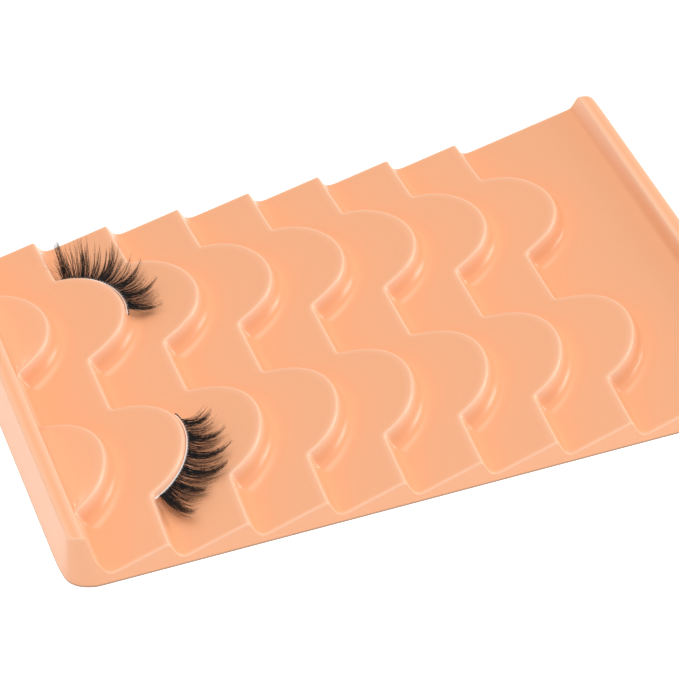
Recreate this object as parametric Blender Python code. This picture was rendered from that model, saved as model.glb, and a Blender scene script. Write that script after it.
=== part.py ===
"""A pair of false eyelash strips in a stepped, thermoformed tray.

The tray is one thin sheet: panels that climb to the right, each ending in a step with two curved
seats, a raised rim at either end and a skirt down to the surface that it stands on. A strip is a
glue band on the wall of its seat and a root thread with its locks of hair.

Axes: +X along the row of steps, +Y from the front fold to the back, +Z up. The origin is on the
base, under the middle of the tray.
"""
import math

import bmesh
import bpy
import numpy as np

# Tray, metres
PITCH = 0.0200              # from one step's edge to the next
STEPS = 8
STEP_DROP = 0.00576         # height that a panel climbs over one pitch and loses at a step
DEPTH = 0.1184              # front fold to back fold, at the height of the step edges
EDGE_HEIGHT = 0.00664       # a step's edge above the base
WALL_RUN = 0.0023           # how far a step's wall leans out
WALL_SHARE = 0.86           # part of the drop that the wall takes; the fillet takes the rest
FOOT_RUN = 0.0017           # width of the fillet at the wall's foot
LANDING = 0.0140            # how far the last panel runs on past one pitch
RIM_HEIGHT = 0.0080         # top of an end rim above the step edges
RIM_WIDTH = 0.0040
RIM_WALL_RUN = 0.0017       # how far a rim's inner wall leans
APRON_DRAFT = math.radians(10.0)
END_DRAFT = math.radians(5.9)
RIM_END = 0.0012            # straight part of a rim's end, beside its round corner
BASE_CORNER = 0.0076        # radius of the tray's corners at the base
SKIRT_BLEND = 0.0080        # stretch at either end over which the skirt's foot clears its corner
SHEET = 0.0005              # thickness of the formed sheet

# Seats, metres
SEAT_START = 0.01734        # from the fold to the seat's outer corner
SEAT_CHORD = 0.0320
SEAT_BULGE = 0.0139         # how far a seat stands out from the step's straight edge
CORNER_REACH = 0.0070       # stretch beside a corner over which the wall turns into it

# A seat's curve from its outer corner: share of the bulge, share of the chord
SEAT_CURVE = (
    (0.060, 0.000),
    (1.014, 0.079),
    (1.590, 0.832),
    (0.025, 1.000),
)

# Strips, metres
STRIP_STEP = 2              # the step whose two seats hold the pair
BAND_DEPTH = 0.0011         # across the band, along the wall
BAND_THICKNESS = 0.0003
BAND_DOWN = 0.0017          # from the step's edge down the wall to the middle of the band
BAND_GAP = 0.0003           # band to wall
THREAD_SIZE = 0.00048       # the root thread
THREAD_GAP = 0.00015        # thread to band
BAND_TAIL = 0.0012          # how far the band runs on past the outermost lock
THREAD_TAIL = 0.0034        # how far band and thread run on past the innermost lock
STRIP_START = 0.045         # share of the seat's curve where the locks begin
STRIP_END = 0.610           # and where they end
LASH_LENGTH = 0.0138        # the longest lock
TIP_SIZE = 0.00010
ROOT_PITCH = math.radians(-26.0)    # a lock leaves the thread pointing down by this
TIP_PITCH = math.radians(58.0)      # and has curled up to this at its tip

# Clusters of locks from the outer end to the inner one: share of the longest length,
# lean towards the inner end in degrees, share of the curl, shares of thread for spike and fine locks
CLUSTERS = (
    (0.86, 8.0, 0.75, 3.0, 1.2),
    (0.97, 13.0, 0.85, 3.2, 1.2),
    (1.00, 13.0, 0.95, 3.2, 1.2),
    (0.95, 11.0, 1.00, 3.0, 1.2),
    (0.84, 9.0, 1.05, 2.8, 1.1),
    (0.66, 5.0, 1.15, 2.2, 1.0),
)
# Locks in a cluster: kind, share of the cluster's length, extra lean in degrees
LOCKS = (
    ("spike", 1.00, 0.0),
    ("fine", 0.88, -2.0),
    ("fine", 0.94, -1.0),
    ("fine", 0.90, 1.0),
    ("fine", 0.84, 2.0),
)
LOCK_RINGS = 6

# Fineness
SEAT_POINTS = 14
CORNER_POINTS = 5
BAND_POINTS = 18
TAIL_POINTS = 4
END_CROWDING = 0.25         # how much closer a seat's points lie near its two corners
SHORTEST_LEAN = 0.3         # keeps the wall's lean from growing too long at a corner
SAME_FACE = 0.9995          # two faces count as one when their normals agree by this
MOVE_LIMIT = 2.2            # longest inward move of a corner, in thicknesses
TAPER = 0.8                 # how early a lock grows narrow
CURL_DELAY = 1.15           # how late it curls up

SLOPE = STEP_DROP / PITCH
DROP_PROFILE = ((0.0, 0.0), (WALL_RUN, WALL_SHARE), (WALL_RUN + FOOT_RUN, 1.0))
LAST_EDGE = (STEPS + 1) * PITCH + LANDING
TOP_CORNER = RIM_WIDTH - RIM_END
LEFT_TOP = PITCH - RIM_WIDTH
LEFT_BASE = LEFT_TOP - (RIM_HEIGHT + EDGE_HEIGHT) * math.tan(END_DRAFT)
RIGHT_INNER = LAST_EDGE + RIM_WALL_RUN
RIGHT_TOP = RIGHT_INNER + RIM_WIDTH
RIGHT_BASE = RIGHT_TOP + (RIM_HEIGHT + EDGE_HEIGHT) * math.tan(END_DRAFT)
MIDDLE = 0.5 * (LEFT_BASE + RIGHT_BASE)


def panel_height(x, step):
    """Height of the panel that ends at a step's edge, above the step edges."""
    return SLOPE * (x - step * PITCH)


def seat_curve(shares):
    """Points of a seat's edge, from the outer corner to the inner one, measured from the fold."""
    ctrl = [np.array((SEAT_BULGE * a, SEAT_START + SEAT_CHORD * b)) for a, b in SEAT_CURVE]
    points = []
    for t in shares:
        k = 1.0 - t
        points.append(k ** 3 * ctrl[0] + 3 * k * k * t * ctrl[1] + 3 * k * t * t * ctrl[2] + t ** 3 * ctrl[3])
    return np.array(points)


def seat_normals(shares):
    """Outward normals of a seat's edge."""
    fine = 1e-4
    along = seat_curve(np.array(shares) + fine) - seat_curve(np.array(shares) - fine)
    along /= np.linalg.norm(along, axis=1)[:, None]
    return np.column_stack((along[:, 1], -along[:, 0]))


def edge_path():
    """The step's edge from front to back, with the direction in which its wall leans.

    Returns the points and, for each, the plan vector by which one metre of lean moves it.
    """
    even = np.linspace(0.0, 1.0, SEAT_POINTS)
    crowded = 0.5 - 0.5 * np.cos(math.pi * even)
    shares = (1.0 - END_CROWDING) * even + END_CROWDING * crowded
    seat = seat_curve(shares)
    normals = seat_normals(shares)
    outer, inner = seat[0], seat[-1]
    straight_y = (0.0, 0.5 * outer[1], outer[1] - 0.5 * CORNER_REACH)
    front = np.array([(outer[0] * y / outer[1], y) for y in straight_y])
    points = np.vstack((front, seat, [(inner[0], inner[1] + 0.5 * CORNER_REACH)]))
    own = np.vstack((np.tile((1.0, 0.0), (len(front), 1)), normals, [(1.0, 0.0)]))
    across = np.array((1.0, 0.0))
    corners = ((len(front), normals[0] + across), (len(front) + len(seat) - 1, normals[-1] + across))
    lean = own.copy()
    run = np.concatenate(([0.0], np.cumsum(np.linalg.norm(np.diff(points, axis=0), axis=1))))
    for index, bisector in corners:
        bisector = bisector / np.linalg.norm(bisector)
        for i in range(len(points)):
            share = max(0.0, 1.0 - abs(run[i] - run[index]) / CORNER_REACH)
            if share <= 0.0 or i == 0:
                continue
            way = own[i] * (1.0 - share) + bisector * share
            lean[i] = way / np.linalg.norm(way)
            lean[i] /= max(SHORTEST_LEAN, float(lean[i] @ own[i]))
    half_points = np.vstack((points, [(inner[0], 0.5 * DEPTH)]))
    half_lean = np.vstack((lean, [(1.0, 0.0)]))
    back_points = half_points[:-1][::-1] * (1.0, -1.0) + (0.0, DEPTH)
    back_lean = half_lean[:-1][::-1] * (1.0, -1.0)
    return np.vstack((half_points, back_points)), np.vstack((half_lean, back_lean))


def columns():
    """The sheet's upper face as columns of points from front to back, left rim to right rim."""
    path, lean = edge_path()
    fold = math.tan(APRON_DRAFT)

    def straight(x, z):
        column = np.column_stack((np.full(len(path), x), path[:, 1], np.full(len(path), z)))
        column[0, 1] = fold * z
        column[-1, 1] = DEPTH - fold * z
        return column

    valley = PITCH + RIM_WALL_RUN
    rows = [straight(PITCH, RIM_HEIGHT), straight(valley, panel_height(valley, 1))]
    for step in range(1, STEPS + 1):
        for out, share in DROP_PROFILE:
            plan = path + lean * out
            x = step * PITCH + plan[:, 0]
            if step == 1:
                x = np.maximum(x, valley + out)
            z = panel_height(x, step) - STEP_DROP * share
            column = np.column_stack((x, plan[:, 1], z))
            column[0, 1] = fold * z[0]
            column[-1, 1] = DEPTH - fold * z[-1]
            rows.append(column)
    rows.append(straight(LAST_EDGE, panel_height(LAST_EDGE, STEPS + 1)))
    rows.append(straight(RIGHT_INNER, RIM_HEIGHT))
    return rows


def corner(x, y, radius, start, points):
    """A quarter of a circle, as plan points, counter-clockwise from the start angle."""
    angles = np.linspace(start, start + 0.5 * math.pi, points)
    return np.column_stack((x + radius * np.cos(angles), y + radius * np.sin(angles)))


def rim_outline(left):
    """Outer edge of a rim's top, and the base line under it, from one fold round to the other."""
    fold = math.tan(APRON_DRAFT)
    low_y, high_y = fold * RIM_HEIGHT, DEPTH - fold * RIM_HEIGHT
    base_low, base_high = -fold * EDGE_HEIGHT, DEPTH + fold * EDGE_HEIGHT
    side = 1.0 if left else -1.0
    top_x, base_x = (LEFT_TOP, LEFT_BASE) if left else (RIGHT_TOP, RIGHT_BASE)
    loops = []
    for x, low, high, radius, z in ((top_x, low_y, high_y, TOP_CORNER, RIM_HEIGHT),
                                    (base_x, base_low, base_high, BASE_CORNER, -EDGE_HEIGHT)):
        centre = x + side * radius
        near = corner(centre, low + radius, radius, math.pi if left else 1.5 * math.pi, CORNER_POINTS)
        far = corner(centre, high - radius, radius, 0.5 * math.pi if left else 0.0, CORNER_POINTS)
        plan = np.vstack((near[::-1], far[::-1])) if left else np.vstack((near, far))
        loops.append(np.column_stack((plan, np.full(len(plan), z))))
    return loops


def skirt_x(x):
    """Where a fold point's foot lies along the base, clear of the base's round corners."""
    known = (
        (PITCH, LEFT_BASE + BASE_CORNER),
        (PITCH + SKIRT_BLEND, PITCH + SKIRT_BLEND),
        (RIGHT_INNER - SKIRT_BLEND, RIGHT_INNER - SKIRT_BLEND),
        (RIGHT_INNER, RIGHT_BASE - BASE_CORNER),
    )
    return float(np.interp(x, [k[0] for k in known], [k[1] for k in known]))


def sheet_surface():
    """The tray's outer face as an open mesh, facing up and out."""
    bm = bmesh.new()
    cache = {}

    def vert(point):
        key = tuple(round(float(c), 8) for c in point)
        if key not in cache:
            cache[key] = bm.verts.new(point)
        return cache[key]

    def face(*points):
        verts = []
        for p in points:
            v = vert(p)
            if v not in verts:
                verts.append(v)
        if len(verts) > 2 and not bm.faces.get(verts):
            bm.faces.new(verts)

    rows = columns()
    for a, b in zip(rows, rows[1:]):
        for i in range(len(a) - 1):
            face(a[i], b[i], b[i + 1], a[i + 1])
    base_y = math.tan(APRON_DRAFT) * EDGE_HEIGHT
    for end, y in ((0, -base_y), (-1, DEPTH + base_y)):
        for a, b in zip(rows, rows[1:]):
            foot_a = (skirt_x(a[end][0]), y, -EDGE_HEIGHT)
            foot_b = (skirt_x(b[end][0]), y, -EDGE_HEIGHT)
            quad = (foot_a, foot_b, b[end], a[end])
            face(*(quad if end == 0 else quad[::-1]))
    for left in (True, False):
        top, base = rim_outline(left)
        inner = rows[0] if left else rows[-1]
        loop = np.vstack((top, inner[::-1]))
        face(*(loop[::-1] if left else loop))
        for i in range(len(top) - 1):
            quad = (base[i], base[i + 1], top[i + 1], top[i])
            face(*(quad[::-1] if left else quad))
        for i, end in ((0, 0), (-1, -1)):
            foot = (skirt_x(inner[end][0]), base[i][1], -EDGE_HEIGHT)
            quad = (base[i], foot, inner[end], top[i])
            face(*(quad if left == (end == 0) else quad[::-1]))
    bmesh.ops.triangulate(bm, faces=[f for f in bm.faces if len(f.verts) > 3])
    bm.normal_update()
    return bm


def inward_move(normals, thickness, level):
    """The move that sets a corner back by the thickness from each of its faces.

    A level move keeps the corner at its own height.
    """
    distinct = []
    for normal in normals:
        if all(normal @ other < SAME_FACE for other in distinct):
            distinct.append(normal)
    rows = np.array(distinct)
    if level:
        rows = rows[:, :2]
    goals = np.full(len(rows), -thickness)
    move = np.linalg.lstsq(rows, goals, rcond=0.15)[0]
    limit = MOVE_LIMIT * thickness
    length = float(np.linalg.norm(move))
    if length > limit:
        move *= limit / length
    return np.append(move, 0.0) if level else move


def thicken(bm, thickness):
    """Give the open sheet its thickness below, with its foot left flat on the base."""
    faces = list(bm.faces)
    inner = {}
    for v in list(bm.verts):
        normals = [np.array(f.normal) for f in v.link_faces]
        at_foot = v.co.z < -EDGE_HEIGHT + 1e-6
        move = inward_move(normals, thickness, at_foot)
        inner[v] = bm.verts.new(np.array(v.co) + move)
    for e in [e for e in bm.edges if e.is_boundary]:
        loop = next(l for l in e.link_faces[0].loops if l.edge == e)
        a, b = loop.vert, loop.link_loop_next.vert
        bm.faces.new((b, a, inner[a], inner[b]))
    for f in faces:
        bm.faces.new([inner[v] for v in reversed(f.verts)])
    bmesh.ops.triangulate(bm, faces=[f for f in bm.faces if len(f.verts) > 3])


def strip_frames(shares, upper):
    """Points and outward normals of a seat's edge in plan, mirrored for the upper strip."""
    plan = seat_curve(shares)
    out = seat_normals(shares)
    if upper:
        plan = plan * (1.0, -1.0) + (0.0, DEPTH)
        out = out * (1.0, -1.0)
    return plan, out


def strip_point(plan, out, down, off):
    """A point beside the seat's wall: down the wall from the edge, and off it at right angles."""
    drop = STEP_DROP * WALL_SHARE
    slant = math.hypot(WALL_RUN, drop)
    reach = (down * WALL_RUN + off * drop) / slant
    fall = (down * drop - off * WALL_RUN) / slant
    x, y = plan + out * reach
    return np.array((x + STRIP_STEP * PITCH, y, SLOPE * x - fall))


def share_at(share, run):
    """The share of the seat's curve that lies a run further along it."""
    fine = np.linspace(0.0, 1.0, 400)
    points = seat_curve(fine)
    lengths = np.concatenate(([0.0], np.cumsum(np.linalg.norm(np.diff(points, axis=0), axis=1))))
    here = float(np.interp(share, fine, lengths))
    return float(np.interp(here + run, lengths, fine))


def band_shares():
    """Shares of the seat's curve along the band, which runs on past the locks at both ends."""
    return np.linspace(share_at(STRIP_START, -BAND_TAIL), share_at(STRIP_END, THREAD_TAIL), BAND_POINTS)


def sweep(bm, sections):
    """Skin closed sections into one body with flat ends."""
    rings = [[bm.verts.new(p) for p in section] for section in sections]
    for a, b in zip(rings, rings[1:]):
        for i in range(len(a)):
            j = (i + 1) % len(a)
            bm.faces.new((a[i], a[j], b[j], b[i]))
    bm.faces.new(rings[0][::-1])
    bm.faces.new(rings[-1])
    return rings


def band_mesh(upper):
    """The glue band: a thin ribbon along the wall of the seat."""
    bm = bmesh.new()
    plan, out = strip_frames(band_shares(), upper)
    near, far = BAND_GAP, BAND_GAP + BAND_THICKNESS
    top, low = BAND_DOWN - 0.5 * BAND_DEPTH, BAND_DOWN + 0.5 * BAND_DEPTH
    corners = ((top, near), (top, far), (low, far), (low, near))
    sections = [[strip_point(p, o, d, w) for d, w in corners] for p, o in zip(plan, out)]
    sweep(bm, sections)
    return bm


def lock_list():
    """Every lock of a strip as width, length, lean and curl, from the outer end to the inner."""
    locks = []
    for length, lean, curl, spike, fine in CLUSTERS:
        for kind, share, extra in LOCKS:
            width = spike if kind == "spike" else fine
            locks.append((width, length * share * LASH_LENGTH, math.radians(lean + extra), curl))
    return locks


def lashes_mesh(upper):
    """The root thread with its locks, each drawn out of its own stretch of the thread.

    Past the innermost lock the thread runs on bare.
    """
    bm = bmesh.new()
    locks = lock_list()
    bounds = np.concatenate(([0.0], np.cumsum([lock[0] for lock in locks])))
    shares = STRIP_START + (STRIP_END - STRIP_START) * bounds / bounds[-1]
    tail = np.linspace(STRIP_END, share_at(STRIP_END, THREAD_TAIL), TAIL_POINTS)[1:]
    plan, out = strip_frames(np.concatenate((shares, tail)), upper)
    near = BAND_GAP + BAND_THICKNESS + THREAD_GAP
    far = near + THREAD_SIZE
    top, low = BAND_DOWN - 0.5 * THREAD_SIZE, BAND_DOWN + 0.5 * THREAD_SIZE
    corners = ((top, near), (top, far), (low, far), (low, near))
    rings = [[bm.verts.new(strip_point(p, o, d, w)) for d, w in corners] for p, o in zip(plan, out)]
    for i, (a, b) in enumerate(zip(rings, rings[1:])):
        bm.faces.new((a[0], a[1], b[1], b[0]))
        bm.faces.new((a[2], a[3], b[3], b[2]))
        bm.faces.new((a[3], a[0], b[0], b[3]))
        if i < len(locks):
            draw_lock(bm, (a[1], a[2], b[2], b[1]), locks[i], out[i] + out[i + 1], upper)
        else:
            bm.faces.new((a[1], a[2], b[2], b[1]))
    bm.faces.new(rings[0][::-1])
    bm.faces.new(rings[-1])
    return bm


def draw_lock(bm, root, lock, out, upper):
    """Draw a tapering, curling lock out of a four-sided root."""
    length, lean, curl = lock[1], lock[2], lock[3]
    turn = lean * (-1.0 if upper else 1.0)
    out = out / np.linalg.norm(out)
    way = np.array((out[0] * math.cos(turn) - out[1] * math.sin(turn),
                    out[0] * math.sin(turn) + out[1] * math.cos(turn)))
    middle = sum((np.array(v.co) for v in root), np.zeros(3)) / 4.0
    across = np.array(root[2].co) + np.array(root[3].co) - np.array(root[0].co) - np.array(root[1].co)
    half_width = 0.25 * float(np.linalg.norm(across))
    across = across / np.linalg.norm(across)
    final = np.array((-way[1], way[0], 0.0)) * (1.0 if across[0] * -way[1] + across[1] * way[0] > 0 else -1.0)
    before = root
    point = middle.copy()
    step = length / LOCK_RINGS
    for ring in range(1, LOCK_RINGS + 1):
        share = (ring - 0.5) / LOCK_RINGS
        pitch = ROOT_PITCH + (TIP_PITCH * curl - ROOT_PITCH) * share ** CURL_DELAY
        ahead = np.array((way[0] * math.cos(pitch), way[1] * math.cos(pitch), math.sin(pitch)))
        point = point + ahead * step
        up = np.array((-way[0] * math.sin(pitch), -way[1] * math.sin(pitch), math.cos(pitch)))
        done = ring / LOCK_RINGS
        side = across * (1.0 - done) + final * done
        side = side / np.linalg.norm(side)
        wide = TIP_SIZE + (half_width - TIP_SIZE) * (1.0 - done) ** TAPER
        high = 0.5 * (TIP_SIZE + (THREAD_SIZE - TIP_SIZE) * (1.0 - done))
        corners = ((-wide, high), (-wide, -high), (wide, -high), (wide, high))
        ring_verts = tuple(bm.verts.new(point + side * w + up * h) for w, h in corners)
        for i in range(4):
            j = (i + 1) % 4
            bm.faces.new((before[i], before[j], ring_verts[j], ring_verts[i]))
        before = ring_verts
    bm.faces.new(before)


def material(name, colour, roughness, alpha=1.0):
    """A plain plastic or hair finish."""
    mat = bpy.data.materials.new(name)
    mat.use_nodes = True
    shader = mat.node_tree.nodes["Principled BSDF"]
    shader.inputs["Base Color"].default_value = (*colour, 1.0)
    shader.inputs["Roughness"].default_value = roughness
    shader.inputs["Metallic"].default_value = 0.0
    shader.inputs["Alpha"].default_value = alpha
    return mat


def add_object(name, bm, mat):
    """Make a named object of a finished mesh, with its place under the row's origin."""
    bmesh.ops.translate(bm, verts=bm.verts, vec=(-MIDDLE, -0.5 * DEPTH, EDGE_HEIGHT))
    bmesh.ops.recalc_face_normals(bm, faces=bm.faces)
    mesh = bpy.data.meshes.new(name)
    bm.to_mesh(mesh)
    bm.free()
    mesh.materials.append(mat)
    mesh.shade_smooth()
    mesh.set_sharp_from_angle(angle=math.radians(30.0))
    obj = bpy.data.objects.new(name, mesh)
    bpy.context.scene.collection.objects.link(obj)
    return obj


def build():
    for old in list(bpy.data.objects):
        bpy.data.objects.remove(old, do_unlink=True)
    peach = material("peach_sheet", (0.95, 0.48, 0.28), 0.45)
    clear = material("clear_band", (0.90, 0.88, 0.84), 0.25)
    hair = material("lash_hair", (0.012, 0.009, 0.008), 0.50)
    tray = sheet_surface()
    thicken(tray, SHEET)
    add_object("tray", tray, peach)
    for name, upper in (("lower", False), ("upper", True)):
        add_object(name + "_band", band_mesh(upper), clear)
        add_object(name + "_lashes", lashes_mesh(upper), hair)


build()
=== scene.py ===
# %% [markdown]
# # A pair of false eyelash strips in their tray
#
# The object is a thin tray of peach plastic with curved seats, and one pair of lash strips that lie
# against two of the seats. The measured model gives the places: it is loaded first as a frame, and
# everything made here is fitted round it. Lengths are in metres, +X runs along the row of steps,
# +Y from the front row of seats to the back row, and +Z is up.
#
# A few things matter more than the rest for the look: the soft, rounded edges of the formed sheet,
# its satin finish, and hairs that are single, fine and gathered in clusters.

# %% Load the measured model
import math

import bmesh
import bpy
import numpy as np
from mathutils import Euler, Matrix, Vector


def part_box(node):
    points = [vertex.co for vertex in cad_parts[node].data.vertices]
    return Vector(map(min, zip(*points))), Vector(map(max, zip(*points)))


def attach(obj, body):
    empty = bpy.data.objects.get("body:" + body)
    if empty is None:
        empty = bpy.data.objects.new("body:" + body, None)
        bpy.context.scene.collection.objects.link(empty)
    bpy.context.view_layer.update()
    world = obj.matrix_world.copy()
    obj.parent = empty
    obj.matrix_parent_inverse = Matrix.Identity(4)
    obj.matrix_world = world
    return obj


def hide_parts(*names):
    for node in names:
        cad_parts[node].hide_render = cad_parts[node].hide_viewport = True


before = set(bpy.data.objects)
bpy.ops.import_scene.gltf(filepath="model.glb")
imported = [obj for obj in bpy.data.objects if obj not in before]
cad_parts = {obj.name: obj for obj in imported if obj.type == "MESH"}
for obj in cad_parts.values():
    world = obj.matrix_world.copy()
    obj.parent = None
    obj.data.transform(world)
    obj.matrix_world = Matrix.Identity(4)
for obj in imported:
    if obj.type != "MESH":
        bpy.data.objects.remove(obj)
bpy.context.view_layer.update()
print("nodes:", sorted(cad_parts))

# %% [markdown]
# ## Camera, floor and light
#
# The photograph looks down at the tray from the front left with a long lens. The camera's place was
# found by matching the corners of the steps and rims. The floor is plain and white. A big soft light
# hangs above, and a second one at the right draws the soft streaks on the rounded feet of the
# seats. A third in front and a broad, even sky fill the shadows, as white studio walls do.

# %% Camera
MM = 0.001
CAMERA_PLACE = (-0.196123, -0.531719, 0.510177)
CAMERA_TURN = (48.0490, 0.2096, -20.1219)
LENS = 156.704
SENSOR = 36.0

camera_data = bpy.data.cameras.new("photo_camera")
camera_data.lens = LENS
camera_data.sensor_width = SENSOR
camera_data.clip_start = 0.05
camera_data.clip_end = 20.0
camera = bpy.data.objects.new("photo_camera", camera_data)
camera.location = CAMERA_PLACE
camera.rotation_euler = Euler([math.radians(a) for a in CAMERA_TURN])
bpy.context.scene.collection.objects.link(camera)
bpy.context.scene.camera = camera
print("camera at", [round(c, 3) for c in camera.location])


# %% Small helpers for meshes and objects
def link(name, mesh):
    """An object at the origin that shows a mesh."""
    obj = bpy.data.objects.new(name, mesh)
    bpy.context.scene.collection.objects.link(obj)
    return obj


def plain_material(name, colour, roughness):
    """A Principled material with its colour and roughness set."""
    mat = bpy.data.materials.new(name)
    mat.use_nodes = True
    shader = mat.node_tree.nodes["Principled BSDF"]
    shader.inputs["Base Color"].default_value = (*colour, 1.0)
    shader.inputs["Roughness"].default_value = roughness
    return mat


# %% Floor
FLOOR_SIZE = 6.0
FLOOR_DROP = 0.05 * MM
FLOOR_GLOW = 0.42

floor_mesh = bpy.data.meshes.new("floor")
half = 0.5 * FLOOR_SIZE
floor_corners = [(-half, -half), (half, -half), (half, half), (-half, half)]
floor_mesh.from_pydata([(x, y, -FLOOR_DROP) for x, y in floor_corners], [], [(0, 1, 2, 3)])
floor = link("floor", floor_mesh)
floor_finish = plain_material("floor_white", (0.93, 0.93, 0.93), 0.9)
floor_shader = floor_finish.node_tree.nodes["Principled BSDF"]
floor_shader.inputs["Specular IOR Level"].default_value = 0.0
floor_shader.inputs["Emission Color"].default_value = (1.0, 1.0, 1.0, 1.0)
floor_shader.inputs["Emission Strength"].default_value = FLOOR_GLOW
floor_mesh.materials.append(floor_finish)
print("floor:", FLOOR_SIZE, "m square")


# %% Lights and sky
# Light: place, size in metres and power in watts
LIGHTS = {
    "top_light": ((-0.25, 0.10, 1.30), 1.10, 11.0),
    "right_light": ((1.30, -0.17, 0.52), 0.66, 8.8),
    "front_fill": ((0.60, -1.10, 0.80), 0.80, 1.2),
}
SKY_STRENGTH = 0.44


def soft_light(name, place, size, power):
    """A white, square area light that looks at the tray."""
    data = bpy.data.lights.new(name, "AREA")
    data.size = size
    data.energy = power
    lamp = bpy.data.objects.new(name, data)
    lamp.location = place
    lamp.rotation_euler = (-Vector(place)).to_track_quat("-Z", "Y").to_euler()
    bpy.context.scene.collection.objects.link(lamp)
    return lamp


for name, settings in LIGHTS.items():
    soft_light(name, *settings)

sky = bpy.data.worlds.new("white_sky")
sky.use_nodes = True
backdrop = sky.node_tree.nodes["Background"]
backdrop.inputs["Color"].default_value = (1.0, 1.0, 1.0, 1.0)
backdrop.inputs["Strength"].default_value = SKY_STRENGTH
bpy.context.scene.world = sky
bpy.context.scene.view_settings.view_transform = "Standard"

# %% [markdown]
# ## The tray as one formed sheet
#
# The real tray is drawn from one hot sheet over a mould, so it has no seams, its wall is about the
# same everywhere, and every edge is round. A good way to get that is a coarse net of points that
# carries the form, which Subdivision Surface rounds and Solidify then gives its thickness. Where two
# rows of the net lie close together the edge comes out tight, and where they lie apart it comes out
# soft.
#
# The sizes are those of the measured model.

# %% Sizes of the tray
PITCH = 20.0 * MM
STEPS = 8
STEP_DROP = 5.76 * MM
DEPTH = 118.4 * MM
EDGE_HEIGHT = 6.64 * MM
WALL_RUN = 2.3 * MM
WALL_SHARE = 0.86
LANDING = 14.0 * MM
RIM_HEIGHT = 8.0 * MM
RIM_WIDTH = 4.0 * MM
RIM_WALL_RUN = 1.7 * MM
APRON_DRAFT = math.radians(10.0)
END_DRAFT = math.radians(5.9)
TOP_CORNER = 2.8 * MM
BASE_CORNER = 7.6 * MM
SHEET = 0.5 * MM
SEAT_START = 17.34 * MM
SEAT_CHORD = 32.0 * MM
SEAT_BULGE = 13.9 * MM
CORNER_REACH = 7.0 * MM
SEAT_CURVE = ((0.060, 0.000), (1.014, 0.079), (1.590, 0.832), (0.025, 1.000))

SLOPE = STEP_DROP / PITCH
FOLD = math.tan(APRON_DRAFT)
LAST_EDGE = (STEPS + 1) * PITCH + LANDING
LEFT_TOP = PITCH - RIM_WIDTH
LEFT_BASE = LEFT_TOP - (RIM_HEIGHT + EDGE_HEIGHT) * math.tan(END_DRAFT)
VALLEY = PITCH + RIM_WALL_RUN
RIGHT_INNER = LAST_EDGE + RIM_WALL_RUN
RIGHT_TOP = RIGHT_INNER + RIM_WIDTH
RIGHT_BASE = RIGHT_TOP + (RIM_HEIGHT + EDGE_HEIGHT) * math.tan(END_DRAFT)
MIDDLE = 0.5 * (LEFT_BASE + RIGHT_BASE)
TO_FRAME = np.array((-MIDDLE, -0.5 * DEPTH, EDGE_HEIGHT))
low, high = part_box("tray")
print("tray, mm:", [round((b - a) / MM, 1) for a, b in zip(low, high)])
print("worked out from the sizes, mm:", round((RIGHT_BASE - LEFT_BASE) / MM, 1))

# %% [markdown]
# ### The edge of a step
#
# Each step ends in a line with two round seats. A seat is a cubic Bezier curve, so its whole shape
# is four points. Every point of the line also gets a direction in which the wall below it leans out:
# square to the line, and turned half way where the line has a corner.

# %% Seat curve and its outward directions
SEAT_POINTS = 22
CORNER_SIDE = 1.4 * MM
FOLD_SIDE = 0.6 * MM
MIN_TURN = 0.3
# Places of the net's rows on the straight front part of an edge
FRONT_ROWS = (0.0, FOLD_SIDE, 2.8 * MM, 7.0 * MM)
# How far the seat's points crowd towards its ends
CROWDING = 0.25


def seat_curve(shares):
    """Points of a seat's edge from the outer corner to the inner one, in plan."""
    ctrl = [np.array((SEAT_BULGE * a, SEAT_START + SEAT_CHORD * b)) for a, b in SEAT_CURVE]
    t = np.asarray(shares, float)[:, None]
    k = 1.0 - t
    return k ** 3 * ctrl[0] + 3 * k * k * t * ctrl[1] + 3 * k * t * t * ctrl[2] + t ** 3 * ctrl[3]


def seat_normals(shares):
    """Directions square to the seat's edge, in plan, away from the seat."""
    small = 1e-4
    along = seat_curve(np.asarray(shares) + small) - seat_curve(np.asarray(shares) - small)
    along /= np.linalg.norm(along, axis=1)[:, None]
    return np.column_stack((along[:, 1], -along[:, 0]))


def edge_path():
    """The edge of a step from the front fold to the back one, and the lean of its wall."""
    even = np.linspace(0.0, 1.0, SEAT_POINTS)
    shares = (1.0 - CROWDING) * even + CROWDING * (0.5 - 0.5 * np.cos(math.pi * even))
    seat = seat_curve(shares)
    normals = seat_normals(shares)
    outer, inner = seat[0], seat[-1]
    front_y = (*FRONT_ROWS, outer[1] - 0.5 * CORNER_REACH, outer[1] - CORNER_SIDE)
    inner_y = (inner[1] + CORNER_SIDE, inner[1] + 0.5 * CORNER_REACH)
    front = np.array([(outer[0] * y / outer[1], y) for y in front_y])
    back = np.array([(inner[0], y) for y in inner_y])
    points = np.vstack((front, seat, back))
    across = np.array((1.0, 0.0))
    own = np.vstack((np.tile(across, (len(front), 1)), normals, np.tile(across, (len(back), 1))))
    lean = own.copy()
    run = np.concatenate(([0.0], np.cumsum(np.linalg.norm(np.diff(points, axis=0), axis=1))))
    turns = ((len(front), normals[0] + across), (len(front) + len(seat) - 1, normals[-1] + across))
    for index, bisector in turns:
        bisector = bisector / np.linalg.norm(bisector)
        for i in range(2, len(points)):
            share = max(0.0, 1.0 - abs(run[i] - run[index]) / CORNER_REACH)
            if share > 0.0:
                way = own[i] * (1.0 - share) + bisector * share
                way /= np.linalg.norm(way)
                lean[i] = way / max(MIN_TURN, float(way @ own[i]))
    half_points = np.vstack((points, [(inner[0], 0.5 * DEPTH)]))
    half_lean = np.vstack((lean, [across]))
    mirror = (1.0, -1.0)
    back_points = half_points[:-1][::-1] * mirror + (0.0, DEPTH)
    back_lean = half_lean[:-1][::-1] * mirror
    return np.vstack((half_points, back_points)), np.vstack((half_lean, back_lean))


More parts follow.
